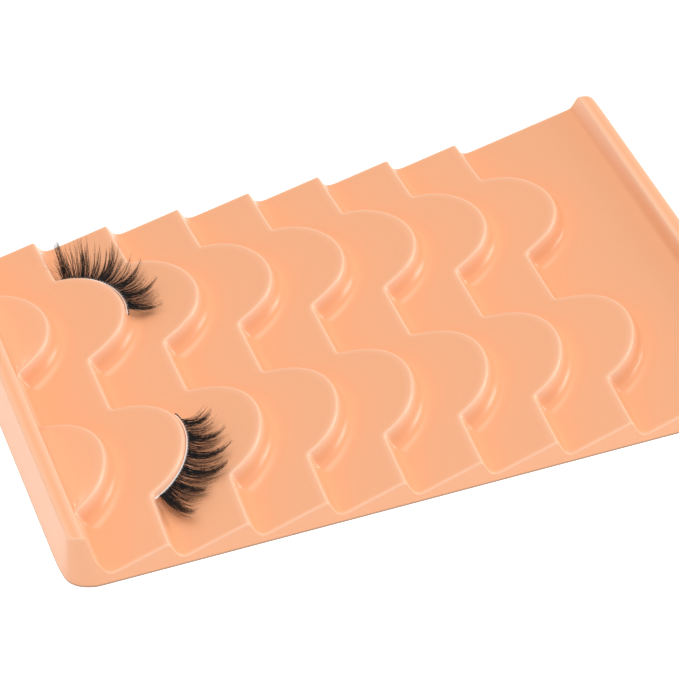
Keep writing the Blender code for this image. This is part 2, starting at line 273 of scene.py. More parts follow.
path, path_lean = edge_path()
print("points along a step's edge:", len(path))

# %% [markdown]
# ### The net of the upper face
#
# The net's columns run from the front fold to the back one. Each step has a fixed set of them: two
# on the panel before the edge, several down the wall, and some round the foot. Their distances set
# how round the edge and the foot are. Between two steps the columns are blended, so that the curve of
# one step's foot turns into the curve of the next step's edge.

# %% Columns of the net
# Column of a step: distance out from the edge, share of the drop
STEP_COLUMNS = (
    (-1.70 * MM, 0.000),
    (-0.55 * MM, 0.000),
    (0.02 * MM, 0.010),
    (0.36 * MM, 0.130),
    (1.15 * MM, 0.430),
    (1.75 * MM, 0.650),
    (2.45 * MM, 0.825),
    (3.40 * MM, 0.940),
    (4.60 * MM, 1.000),
    (5.80 * MM, 1.000),
)
# Column between two steps: share of the way, rounds of evening out
BETWEEN = ((0.33, 8), (0.66, 2))
# The same rounds for a step's own first and last column, which lie on the panels
PANEL_ROUNDS = 2
# Beside the left rim: least distance between columns, and the stretch over which they straighten
VALLEY_SIDE = 0.05 * MM
VALLEY_BLEND = 1.0 * MM
# Columns of the two rims: how close they lie to an edge, and shares of the way down or up a wall
EDGE_SIDE = 0.6 * MM
LEFT_WALL = (0.10, 0.50, 0.90)
RIGHT_WALL = (0.25, 0.85, 1.0)
# Columns of the last panel: shares of the way, rounds of evening out, distance of the last to the wall
LAST_PANEL = (0.2, 0.4, 0.6, 0.8)
LAST_ROUNDS = 10
LAST_SIDE = 1.6 * MM


def panel_height(x, step):
    """Height of the panel that ends at a step's edge."""
    return SLOPE * (x - step * PITCH)


def fit_folds(column):
    """Put a column's two ends on the leaning front and back folds."""
    for end, side, sign in ((0, 1, 1.0), (-1, -2, -1.0)):
        start = 0.0 if sign > 0 else DEPTH
        column[end, 1] = start + sign * FOLD * column[end, 2]
        column[side, 1] = start + sign * (FOLD * column[side, 2] + FOLD_SIDE)
    return column


def straight_column(x, z):
    """A straight column at one x and one height."""
    size = len(path)
    return fit_folds(np.column_stack((np.full(size, x), path[:, 1], np.full(size, z))))


def relaxed(column, step, rounds):
    """Even out a column that lies on the flat panel of a step, so that it has no kinks."""
    for _ in range(rounds):
        sides = 0.5 * (column[:-2, :2] + column[2:, :2])
        column[1:-1, :2] = 0.5 * (column[1:-1, :2] + sides)
    column[:, 2] = panel_height(column[:, 0], step)
    return fit_folds(column)


def step_columns(step):
    """The columns of one step, from its panel over the edge and down to the next panel."""
    made = []
    for number, (out, share) in enumerate(STEP_COLUMNS):
        plan = path + path_lean * out
        x = step * PITCH + plan[:, 0]
        if step == 1:
            least = VALLEY + max(out, 0.0) + number * VALLEY_SIDE
            if out <= 0.0:
                held = np.clip((least - x) / VALLEY_BLEND, 0.0, 1.0)
                plan[:, 1] += held * (path[:, 1] - plan[:, 1])
            x = np.maximum(x, least)
        z = panel_height(x, step) - STEP_DROP * share
        made.append(fit_folds(np.column_stack((x, plan[:, 1], z))))
    if step > 1:
        made[0] = relaxed(made[0], step, PANEL_ROUNDS)
    made[-1] = relaxed(made[-1], step + 1, PANEL_ROUNDS)
    return made


def between(a, b, share, step, rounds):
    """A column on the panel of a step, between two others."""
    return relaxed(a * (1.0 - share) + b * share, step, rounds)


columns = []
for x in (LEFT_TOP, LEFT_TOP + EDGE_SIDE, LEFT_TOP + 0.5 * RIM_WIDTH, PITCH - EDGE_SIDE, PITCH):
    columns.append(straight_column(x, RIM_HEIGHT))
wall_top, wall_foot = RIM_HEIGHT, panel_height(VALLEY, 1)
for share in LEFT_WALL:
    height = wall_top + share * (wall_foot - wall_top)
    columns.append(straight_column(PITCH + share * RIM_WALL_RUN, height))
for step in range(1, STEPS + 1):
    made = step_columns(step)
    if step > 1:
        before = columns[-1]
        columns += [between(before, made[0], share, step, rounds) for share, rounds in BETWEEN]
    columns += made
last_foot = straight_column(LAST_EDGE, panel_height(LAST_EDGE, STEPS + 1))
last_x = LAST_EDGE - LAST_SIDE
last_side = straight_column(last_x, panel_height(last_x, STEPS + 1))
before = columns[-1]
columns += [between(before, last_side, share, STEPS + 1, LAST_ROUNDS) for share in LAST_PANEL]
columns += [last_side, last_foot]
wall_foot = panel_height(LAST_EDGE, STEPS + 1)
for share in RIGHT_WALL:
    height = wall_foot + share * (wall_top - wall_foot)
    columns.append(straight_column(LAST_EDGE + share * RIM_WALL_RUN, height))
for x in (RIGHT_INNER + EDGE_SIDE, RIGHT_INNER + 0.5 * RIM_WIDTH, RIGHT_TOP - EDGE_SIDE, RIGHT_TOP):
    columns.append(straight_column(x, RIM_HEIGHT))
net = np.array(columns)
print("net:", net.shape[0], "columns of", net.shape[1], "points")

# %% [markdown]
# ### The skirt and the round corners
#
# Below the folds the sheet goes down to the table on all four sides, leaning out a little. The skirt
# is made as loops that run round the whole net. In plan the tray is a rectangle with round corners,
# small at the top and larger at the base. A square's corner is bent to a round one with a formula
# that moves the points near it too, so the net stays even.

# %% Skirt
SKIRT_REACH = 12.0 * MM
SKIRT_SIDE = 0.5 * MM
SKIRT_SHARES = (0.35, 0.70, 1.0)


def round_corners(points, box, radius):
    """Bend the square corners of a plan rectangle to round ones."""
    x0, x1, y0, y1 = box
    out = points.copy()
    for sx, x_side in ((1.0, x0), (-1.0, x1)):
        for sy, y_side in ((1.0, y0), (-1.0, y1)):
            u = 1.0 - sx * (points[..., 0] - x_side) / radius
            v = 1.0 - sy * (points[..., 1] - y_side) / radius
            near = (u > 0.0) & (v > 0.0)
            bent_u = u * np.sqrt(1.0 - 0.5 * np.clip(v, 0.0, 1.0) ** 2)
            bent_v = v * np.sqrt(1.0 - 0.5 * np.clip(u, 0.0, 1.0) ** 2)
            out[..., 0] = np.where(near, x_side + sx * radius * (1.0 - bent_u), out[..., 0])
            out[..., 1] = np.where(near, y_side + sy * radius * (1.0 - bent_v), out[..., 1])
    return out


def spread(value, top_low, top_high, base_low, base_high):
    """Where a point of the top outline lies along the base outline."""
    known = (top_low, top_low + TOP_CORNER, top_low + SKIRT_REACH,
             top_high - SKIRT_REACH, top_high - TOP_CORNER, top_high)
    placed = (base_low, base_low + BASE_CORNER, top_low + SKIRT_REACH,
              top_high - SKIRT_REACH, base_high - BASE_CORNER, base_high)
    return np.interp(value, known, placed)


top_box = (LEFT_TOP, RIGHT_TOP, FOLD * RIM_HEIGHT, DEPTH - FOLD * RIM_HEIGHT)
base_box = (LEFT_BASE, RIGHT_BASE, -FOLD * EDGE_HEIGHT, DEPTH + FOLD * EDGE_HEIGHT)
count_x, count_y = net.shape[:2]
around = [(i, 0) for i in range(count_x)] + [(count_x - 1, j) for j in range(1, count_y)]
around += [(i, count_y - 1) for i in range(count_x - 2, -1, -1)] + [(0, j) for j in range(count_y - 2, 0, -1)]
outline = np.array([net[i, j] for i, j in around])
foot = outline.copy()
foot[:, 0] = spread(outline[:, 0], top_box[0], top_box[1], base_box[0], base_box[1])
foot[:, 1] = spread(outline[:, 1], top_box[2], top_box[3], base_box[2], base_box[3])
front_side = np.array([j == 0 for i, j in around])
back_side = np.array([j == count_y - 1 for i, j in around])
foot[front_side, 1] = base_box[2]
foot[back_side, 1] = base_box[3]
foot[:, 2] = -EDGE_HEIGHT
foot = round_corners(foot, base_box, BASE_CORNER)
net = round_corners(net, top_box, TOP_CORNER)
outline = np.array([net[i, j] for i, j in around])
fall = np.linalg.norm(foot - outline, axis=1)[:, None]
loops = [outline + (foot - outline) * SKIRT_SIDE / fall]
loops += [outline + (foot - outline) * share for share in SKIRT_SHARES]
print("skirt:", len(loops), "loops of", len(around), "points")

# %% [markdown]
# ### Rounding and wall
#
# The net becomes a mesh, one level of Subdivision Surface rounds it, and Solidify adds the wall
# below. Both are applied at once, because the finished piece should be a plain mesh. Two numbers are
# kept on every point. One is high at the foot of a wall and paints shade there, and the other is
# high along the convex edges and paints a highlight. The finish uses both.

# %% Mesh of the tray
# Painted shade and painted highlight for the columns of a step, in the order of STEP_COLUMNS
STEP_SHADE = (0.0, 0.0, 0.0, 0.10, 0.35, 0.70, 0.95, 1.0, 0.85, 0.65)
STEP_HIGHLIGHT = (0.0, 0.30, 1.0, 0.75, 0.10, 0.0, 0.0, 0.0, 0.0, 0.0)
BETWEEN_SHADE = (0.30, 0.08)
BETWEEN_HIGHLIGHT = (0.0, 0.0)
# The same for the columns of the left rim, the last panel and the right rim
LEFT_SHADE = (0.0, 0.0, 0.0, 0.0, 0.0, 0.0, 0.3, 0.6)
LEFT_HIGHLIGHT = (0.9, 0.5, 0.0, 0.6, 0.9, 0.3, 0.0, 0.0)
LAST_SHADE = (0.4, 0.2, 0.1, 0.3, 0.7, 0.8)
LAST_HIGHLIGHT = (0.0, 0.0, 0.0, 0.0, 0.0, 0.0)
RIGHT_SHADE = (0.6, 0.2, 0.0, 0.0, 0.0, 0.0, 0.0)
RIGHT_HIGHLIGHT = (0.0, 0.4, 0.9, 0.6, 0.0, 0.5, 0.9)
# The painted highlight on the front and back folds
FOLD_HIGHLIGHT = 0.8


def along_columns(left, between_steps, step_values, last, right):
    """One value for every column of the net, put together from its parts."""
    values = [*left]
    for step in range(1, STEPS + 1):
        if step > 1:
            values += between_steps
        values += step_values
    return values + [*last, *right]


def build_tray_sheet():
    """The tray's outer face as a mesh of quads."""
    bm = bmesh.new()
    recess_shade = bm.verts.layers.float.new("recess_shade")
    crest_highlight = bm.verts.layers.float.new("crest_highlight")
    column_shade = along_columns(LEFT_SHADE, BETWEEN_SHADE, STEP_SHADE, LAST_SHADE, RIGHT_SHADE)
    column_highlight = along_columns(LEFT_HIGHLIGHT, BETWEEN_HIGHLIGHT, STEP_HIGHLIGHT, LAST_HIGHLIGHT, RIGHT_HIGHLIGHT)
    grid = [[bm.verts.new(net[i, j] + TO_FRAME) for j in range(count_y)] for i in range(count_x)]
    # Each point gets its column's painted shade and painted highlight
    for i in range(count_x):
        for j in range(count_y):
            grid[i][j][recess_shade] = column_shade[i]
            on_fold = FOLD_HIGHLIGHT if j in (0, count_y - 1) else 0.0
            grid[i][j][crest_highlight] = max(column_highlight[i], on_fold)
    for i in range(count_x - 1):
        for j in range(count_y - 1):
            bm.faces.new((grid[i][j], grid[i + 1][j], grid[i + 1][j + 1], grid[i][j + 1]))
    upper = [grid[i][j] for i, j in around]
    for loop in loops:
        lower = [bm.verts.new(point + TO_FRAME) for point in loop]
        for k in range(len(around)):
            n = (k + 1) % len(around)
            bm.faces.new((upper[k], lower[k], lower[n], upper[n]))
        upper = lower
    mesh = bpy.data.meshes.new("tray_sheet")
    bm.to_mesh(mesh)
    bm.free()
    return mesh


def applied(obj):
    """Replace an object's mesh by what its modifiers make of it."""
    graph = bpy.context.evaluated_depsgraph_get()
    mesh = bpy.data.meshes.new_from_object(obj.evaluated_get(graph))
    obj.modifiers.clear()
    obj.data = mesh
    return mesh


SHARP_ANGLE = math.radians(50.0)
INNER_DEPTH = 0.5 * SHEET
NOTABLE = 0.01 * MM

tray = link("formed_tray", build_tray_sheet())
rounding = tray.modifiers.new("rounding", "SUBSURF")
rounding.levels = rounding.render_levels = 1
wall = tray.modifiers.new("wall", "SOLIDIFY")
wall.thickness = SHEET
wall.offset = -1.0
tray_mesh = applied(tray)
# Solidify lists the outer face's points first. Where the net is tight, an inner one can poke through
# the apron, so every point is held behind it, and the inner ones a little deeper.
outer_count = len(tray_mesh.vertices) // 2
moved = 0
for vertex in tray_mesh.vertices:
    vertex.co.z = max(vertex.co.z, 0.0)
    inside = INNER_DEPTH if vertex.index >= outer_count else 0.0
    room = 0.5 * DEPTH + FOLD * (EDGE_HEIGHT - vertex.co.z) - inside
    kept_y = min(max(vertex.co.y, -room), room)
    moved += abs(kept_y - vertex.co.y) > NOTABLE
    vertex.co.y = kept_y
print("points put back behind the aprons:", moved)
tray_mesh.shade_smooth()
tray_mesh.set_sharp_from_angle(angle=SHARP_ANGLE)
print("tray faces:", len(tray_mesh.polygons))

# %% [markdown]
# ## The finish of the formed sheet
#
# The plastic is dyed right through and has a satin skin from the mould: highlights are broad and
# soft. Up close the skin is slightly uneven. Painted shade deepens the colour a little towards the
# foot of each wall, where light is caught between two faces, and a painted highlight makes it paler
# along the convex edges and the folds. At the base, a thin line is darker.


# %% Satin peach plastic
# A darker line along the base: full below this height, gone at twice it
BASE_LINE_HEIGHT = 0.25 * MM
PANEL_COLOUR = (0.90, 0.430, 0.228, 1.0)
# Painted shade: a deeper orange towards the foot of each wall
RECESS_SHADE_COLOUR = (0.91, 0.415, 0.208, 1.0)
# Painted highlight: paler along the convex edges and the folds
CREST_HIGHLIGHT_COLOUR = (0.96, 0.56, 0.37, 1.0)
# The colour of that darker line along the base
BASE_LINE_COLOUR = (0.42, 0.24, 0.15, 1.0)
SATIN_ROUGHNESS = 0.30
SKIN_SCALE = 900.0
SKIN_DETAIL = 3.0
SKIN_STRENGTH = 0.06
SKIN_DISTANCE = 0.1 * MM


def satin_plastic():
    """Peach formed sheet with a fine, uneven skin, painted shade and highlights, and a darker base line."""
    mat = plain_material("peach_sheet", PANEL_COLOUR[:3], SATIN_ROUGHNESS)
    tree = mat.node_tree
    shader = tree.nodes["Principled BSDF"]
    place = tree.nodes.new("ShaderNodeTexCoord")
    # Painted shade towards the foot of each wall
    shade_share = tree.nodes.new("ShaderNodeAttribute")
    shade_share.attribute_name = "recess_shade"
    shaded = tree.nodes.new("ShaderNodeMix")
    shaded.data_type = "RGBA"
    shaded.inputs["A"].default_value = PANEL_COLOUR
    shaded.inputs["B"].default_value = RECESS_SHADE_COLOUR
    tree.links.new(shade_share.outputs["Fac"], shaded.inputs["Factor"])
    # Painted highlight along the convex edges and folds
    highlight_share = tree.nodes.new("ShaderNodeAttribute")
    highlight_share.attribute_name = "crest_highlight"
    edge = tree.nodes.new("ShaderNodeMix")
    edge.data_type = "RGBA"
    edge.inputs["B"].default_value = CREST_HIGHLIGHT_COLOUR
    tree.links.new(highlight_share.outputs["Fac"], edge.inputs["Factor"])
    tree.links.new(shaded.outputs["Result"], edge.inputs["A"])
    # Darker along the base of the tray
    height = tree.nodes.new("ShaderNodeSeparateXYZ")
    tree.links.new(place.outputs["Object"], height.inputs["Vector"])
    base_line_mask = tree.nodes.new("ShaderNodeMapRange")
    base_line_mask.inputs["From Min"].default_value = BASE_LINE_HEIGHT
    base_line_mask.inputs["From Max"].default_value = 2.0 * BASE_LINE_HEIGHT
    base_line_mask.inputs["To Min"].default_value = 1.0
    base_line_mask.inputs["To Max"].default_value = 0.0
    tree.links.new(height.outputs["Z"], base_line_mask.inputs["Value"])
    base_line = tree.nodes.new("ShaderNodeMix")
    base_line.data_type = "RGBA"
    base_line.inputs["B"].default_value = BASE_LINE_COLOUR
    tree.links.new(base_line_mask.outputs["Result"], base_line.inputs["Factor"])
    tree.links.new(edge.outputs["Result"], base_line.inputs["A"])
    tree.links.new(base_line.outputs["Result"], shader.inputs["Base Color"])
    skin = tree.nodes.new("ShaderNodeTexNoise")
    skin.inputs["Scale"].default_value = SKIN_SCALE
    skin.inputs["Detail"].default_value = SKIN_DETAIL
    tree.links.new(place.outputs["Object"], skin.inputs["Vector"])
    bump = tree.nodes.new("ShaderNodeBump")
    bump.inputs["Strength"].default_value = SKIN_STRENGTH
    bump.inputs["Distance"].default_value = SKIN_DISTANCE
    tree.links.new(skin.outputs["Fac"], bump.inputs["Height"])
    tree.links.new(bump.outputs["Normal"], shader.inputs["Normal"])
    return mat


tray_mesh.materials.append(satin_plastic())
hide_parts("tray")
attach(tray, "root")
print("tray finished")

# %% [markdown]
# ## Where a strip lies
#
# A strip of lashes rests against the wall of its seat, a little below the edge. Everything on it is
# placed by three numbers: how far along the strip it is, how far down the wall, and how far off the
# wall. One function turns these into a point, for the lower and the upper seat alike.

# %% Points beside a seat's wall
STRIP_STEP = 2
STRIP_START = 0.045
STRIP_END = 0.610
BAND_DOWN = 1.7 * MM
ROOT_OFF = 0.62 * MM
STRIPS = (("lower", False), ("upper", True))
LINE_POINTS = 60


def wall_frame(share, upper):
    """Plan point and outward direction of a seat's edge at shares of the strip."""
    at = STRIP_START + (STRIP_END - STRIP_START) * np.atleast_1d(share)
    plan, out = seat_curve(at), seat_normals(at)
    if upper:
        plan = plan * (1.0, -1.0) + (0.0, DEPTH)
        out = out * (1.0, -1.0)
    return plan, out


def beside_wall(share, upper, down, off):
    """Points beside the wall of a strip's seat, in the frame of the model."""
    plan, out = wall_frame(share, upper)
    drop = STEP_DROP * WALL_SHARE
    slant = math.hypot(WALL_RUN, drop)
    reach = (down * WALL_RUN + off * drop) / slant
    fall = (down * drop - off * WALL_RUN) / slant
    x = plan[:, 0] + out[:, 0] * reach
    y = plan[:, 1] + out[:, 1] * reach
    return np.column_stack((x + STRIP_STEP * PITCH, y, SLOPE * x - fall)) + TO_FRAME


for name, upper in STRIPS:
    line = beside_wall(np.linspace(0.0, 1.0, LINE_POINTS), upper, BAND_DOWN, ROOT_OFF)
    print(name, "strip, mm:", round(float(np.linalg.norm(np.diff(line, axis=0), axis=1).sum()) / MM, 1))

# %% [markdown]
# ## Locks of hair, charted one by one
#
# A strip has six dark spikes, where many hairs run together to one tip, and finer wisps between
# them. A spike is charted by its place on the strip, the way it heads, how far it turns sideways, its
# length, and how it leaves the thread and ends: slightly down at the root and curled up at the tip.
# The wisps between take their values from the spikes on either side, with a little of their own.

# %% Spikes of the two strips
# Spike, outer end first: share along the strip, heading, turn, length in mm, pitch at root and tip
SPIKES = {
    "lower": (
        (0.050, -72.0, 26.0, 11.8, -24.0, 40.0),
        (0.185, -42.0, 34.0, 12.6, -26.0, 52.0),
        (0.350, -30.0, 32.0, 12.8, -26.0, 55.0),
        (0.540, -21.0, 30.0, 12.4, -26.0, 55.0),
        (0.740, -15.0, 26.0, 11.4, -26.0, 55.0),
        (0.925, -5.0, 24.0, 8.6, -20.0, 58.0),
    ),
    "upper": (
        (0.060, 84.0, 16.0, 13.4, -10.0, 58.0),
        (0.230, 69.0, 20.0, 13.8, -10.0, 58.0),
        (0.450, 47.0, 23.0, 13.0, -15.0, 54.0),
        (0.640, 22.0, 22.0, 12.2, -20.0, 50.0),
        (0.800, 2.0, 22.0, 11.2, -22.0, 45.0),
        (0.960, -24.0, 18.0, 10.6, -20.0, 34.0),
    ),
}
GUIDE_POINTS = 13
SPIKE_HAIRS = {"lower": 58, "upper": 48}
SPIKE_ROOT, SPIKE_TIP = 3.4 * MM, 1.5 * MM
WISPS = {"lower": 88, "upper": 118}
WISP_HAIRS = 3
WISP_ROOT, WISP_TIP = 0.35 * MM, 0.40 * MM
STRAYS = 110
STRAY_ROOT, STRAY_TIP = 0.05 * MM, 0.05 * MM
# Hairs that cross and loop at the outer end of a strip
LOOPS = {"lower": 70, "upper": 8}
LOOP_REACH = 0.17
# How much loose hairs differ from the spikes beside them: angles in degrees, lengths as shares
HEADING_SPREAD = 4.0
TURN_SPREAD = 7.0
TIP_SPREAD = 7.0
STRAY_LOOSENESS = 2.2
LENGTH_RANGE = (0.78, 1.10)
ROOT_SPREAD = 0.06 * MM
LOOP_HEADING_SPREAD = 22.0
LOOP_TURN, LOOP_TURN_SPREAD = 25.0, 50.0
LOOP_LENGTH_RANGE = (0.6, 0.95)
LOOP_TIP_RANGE = (5.0, 40.0)
SEEDS = {"lower": 3, "upper": 7}
# How late along a lock its turn and its rise set in
TURN_DELAY = 1.3
RISE_DELAY = 1.15


def guide_line(root, heading, turn, length, root_pitch, tip_pitch):
    """The middle line of a lock, stepped from its root along its turning and rising direction."""
    steps = GUIDE_POINTS - 1
    done = (np.arange(steps) + 0.5) / steps
    way = np.radians(heading + turn * done ** TURN_DELAY)
    pitch = np.radians(root_pitch + (tip_pitch - root_pitch) * done ** RISE_DELAY)
    ahead = np.column_stack((np.cos(way) * np.cos(pitch), np.sin(way) * np.cos(pitch), np.sin(pitch)))
    return np.vstack((root, root + np.cumsum(ahead * length / steps, axis=0)))


def blended_spike(table, share):
    """Heading, turn, length and pitches at any place between the spikes of a table."""
    rows = np.array(table)
    return [float(np.interp(share, rows[:, 0], rows[:, k])) for k in range(1, 6)]


def lock_guides(name, upper):
    """Every guide of a strip: its line, its number of hairs, and its widths at root and tip."""
    dice = np.random.default_rng(SEEDS[name])
    guides = []
    for share, heading, turn, length, root_pitch, tip_pitch in SPIKES[name]:
        root = beside_wall(share, upper, BAND_DOWN, ROOT_OFF)[0]
        line = guide_line(root, heading, turn, length * MM, root_pitch, tip_pitch)
        guides.append((line, SPIKE_HAIRS[name], SPIKE_ROOT, SPIKE_TIP))
    for kind, number in (("wisp", WISPS[name]), ("stray", STRAYS)):
        loose = 1.0 if kind == "wisp" else STRAY_LOOSENESS
        for k in range(number):
            share = (k + dice.uniform(0.1, 0.9)) / number
            heading, turn, length, root_pitch, tip_pitch = blended_spike(SPIKES[name], share)
            heading += dice.normal(0.0, HEADING_SPREAD * loose)
            turn += dice.normal(0.0, TURN_SPREAD * loose)
            length *= dice.uniform(*LENGTH_RANGE)
            tip_pitch += dice.normal(0.0, TIP_SPREAD)
            root = beside_wall(share, upper, BAND_DOWN + dice.normal(0.0, ROOT_SPREAD), ROOT_OFF)[0]
            line = guide_line(root, heading, turn, length * MM, root_pitch, tip_pitch)
            if kind == "wisp":
                guides.append((line, WISP_HAIRS, WISP_ROOT, WISP_TIP))
            else:
                guides.append((line, 1, STRAY_ROOT, STRAY_TIP))
    for k in range(LOOPS[name]):
        share = LOOP_REACH * (k + dice.uniform(0.0, 1.0)) / LOOPS[name]
        heading, turn, length, root_pitch, tip_pitch = blended_spike(SPIKES[name], share)
        root = beside_wall(share, upper, BAND_DOWN, ROOT_OFF)[0]
        heading += dice.normal(0.0, LOOP_HEADING_SPREAD)
        turn += dice.normal(LOOP_TURN, LOOP_TURN_SPREAD)
        length *= dice.uniform(*LOOP_LENGTH_RANGE)
        line = guide_line(root, heading, turn, length * MM, root_pitch, dice.uniform(*LOOP_TIP_RANGE))
        guides.append((line, 1, STRAY_ROOT, STRAY_TIP))
    return guides


guides = {name: lock_guides(name, upper) for name, upper in STRIPS}
print("guides:", {name: len(made) for name, made in guides.items()})
print("hairs:", {name: sum(g[1] for g in made) for name, made in guides.items()})

# %% [markdown]
# ## Hairs by Geometry Nodes
#
# The guides are thin lines, and a node tree turns each of them into its hairs. Duplicate Elements
# copies a guide. Random numbers that belong to the copy move it sideways, less at a spike's tip than
# at its root, and up or down, more at the tip. Trim Curve gives each hair its own length, and a hair
# tapers from root to tip. The tree also stores two numbers for the finish: how far along the hair a
# point lies, and a tone.


# %% A small kit for node trees
def new_tree(name, sockets):
    """An empty geometry node tree with named inputs: (name, type, default)."""
    tree = bpy.data.node_groups.new(name, "GeometryNodeTree")
    tree.interface.new_socket("Geometry", in_out="INPUT", socket_type="NodeSocketGeometry")
    tree.interface.new_socket("Geometry", in_out="OUTPUT", socket_type="NodeSocketGeometry")
    for label, kind, default in sockets:
        socket = tree.interface.new_socket(label, in_out="INPUT", socket_type=kind)
        if default is not None:
            socket.default_value = default
    return tree


class Weaver:
    """Adds nodes to a tree and links their sockets, so that a tree reads from top to bottom."""

    def __init__(self, tree):
        self.tree = tree
        self.given = tree.nodes.new("NodeGroupInput")
        self.result = tree.nodes.new("NodeGroupOutput")

    def add(self, kind, inputs=None, **settings):
        """Add a node, with its settings and its inputs as values or as sockets to link."""
        node = self.tree.nodes.new(kind)
        for key, value in settings.items():
            setattr(node, key, value)
        for key, value in (inputs or {}).items():
            socket = node.inputs[key]
            if isinstance(value, bpy.types.NodeSocket):
                self.tree.links.new(value, socket)
            else:
                socket.default_value = value
        return node

    def maths(self, operation, a, b=0.0):
        """A Math node's result."""
        return self.add("ShaderNodeMath", {0: a, 1: b}, operation=operation).outputs[0]

    def scale(self, vector, factor):
        """A vector times a number."""
        node = self.add("ShaderNodeVectorMath", {0: vector, "Scale": factor}, operation="SCALE")
        return node.outputs["Vector"]

    def plus(self, a, b):
        """The sum of two vectors."""
        return self.add("ShaderNodeVectorMath", {0: a, 1: b}, operation="ADD").outputs["Vector"]

    def random(self, low, high, owner, seed):
        """A random number that belongs to an owner."""
        node = self.add("FunctionNodeRandomValue", {"ID": owner, "Seed": seed}, data_type="FLOAT")
        floats = [socket for socket in node.inputs if socket.type == "VALUE"]
        floats[0].default_value = low
        floats[1].default_value = high
        return next(socket for socket in node.outputs if socket.type == "VALUE")

    def stored(self, name, kind="FLOAT"):
        """A named attribute's value."""
        return self.add("GeometryNodeInputNamedAttribute", {"Name": name}, data_type=kind).outputs[0]

    def store(self, geometry, name, value):
        """Store a number on the points of a geometry."""
        node = self.add("GeometryNodeStoreNamedAttribute", {"Geometry": geometry, "Name": name},
                        data_type="FLOAT", domain="POINT")
        target = next(s for s in node.inputs if s.name == "Value" and s.type == "VALUE")
        self.tree.links.new(value, target)
        return node.outputs["Geometry"]


def run_tree(obj, tree, values):
    """Give an object a tree with its input values, and keep the result as a plain mesh object."""
    modifier = obj.modifiers.new(tree.name, "NODES")
    modifier.node_group = tree
    for item in tree.interface.items_tree:
        if item.item_type == "SOCKET" and item.in_out == "INPUT" and item.name in values:
            modifier[item.identifier] = values[item.name]
    graph = bpy.context.evaluated_depsgraph_get()
    mesh = bpy.data.meshes.new_from_object(obj.evaluated_get(graph))
    name = obj.name
    bpy.data.objects.remove(obj, do_unlink=True)
    mesh.name = name
    return link(name, mesh)


print("tree kit ready")


# %% The tree that grows hairs from guides
# Power of the way along a hair by which its spike narrows
NARROWING = 0.85
# How far a hair may lie above or below its guide, at the root and added towards the tip
RISE_ROOT = 0.12 * MM
RISE_GAIN = 1.3 * MM
# Waves: how fine they are in space, and how far the noise moves on from hair to hair
WAVE_SCALE = 190.0
WAVE_STEP = 0.37
# Thickness: power of its taper, and least and greatest share that a hair has of it
TAPER = 0.55
STOUTNESS = (0.75, 1.15)
HAIR_SIDES = 3
RANDOM_NUMBERS = 6


